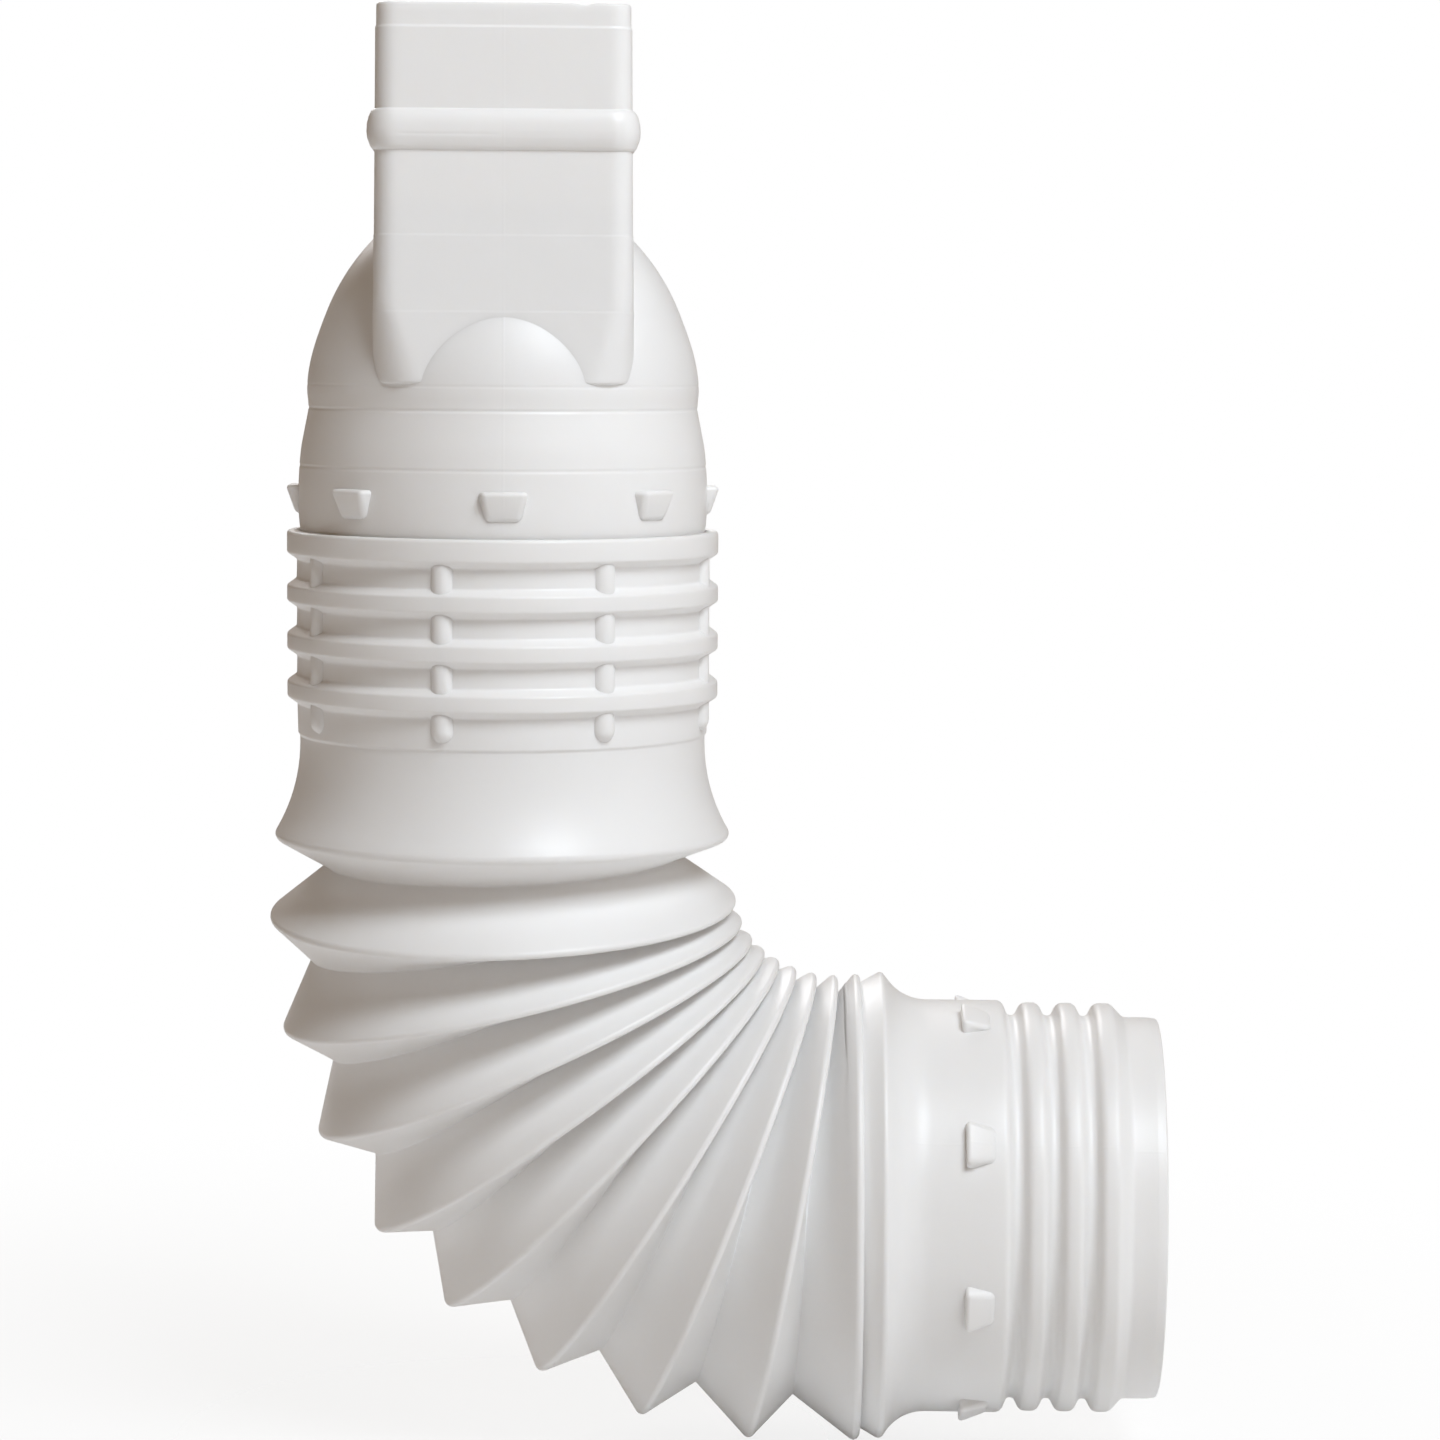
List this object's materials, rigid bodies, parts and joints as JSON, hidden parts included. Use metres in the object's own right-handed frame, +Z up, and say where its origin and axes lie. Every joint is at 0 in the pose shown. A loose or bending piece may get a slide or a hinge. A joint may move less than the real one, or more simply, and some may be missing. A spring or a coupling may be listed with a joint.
{
  "type": "downspout adapter",
  "caption": "Downspout adapter: a head turns a rectangular downspout into a round pipe and sits in a ribbed collar whose bent bellows leads to a level round outlet.",
  "frame": {"origin": "middle of the rectangular mouth that takes the downspout, in the plane of its rim", "axes": "+Z up, out of the rectangular mouth; +X along the outlet pipe, out of its mouth; the bend lies in the XZ plane"},
  "size_m": [0.2337, 0.1248, 0.3745],
  "materials": {
    "head_plastic": "white satin moulded polypropylene",
    "elbow_plastic": "white satin moulded polypropylene"
  },
  "bodies": {
    "root": {"downspout_head": "head_plastic", "flex_elbow": "elbow_plastic"}
  },
  "joints": []
}
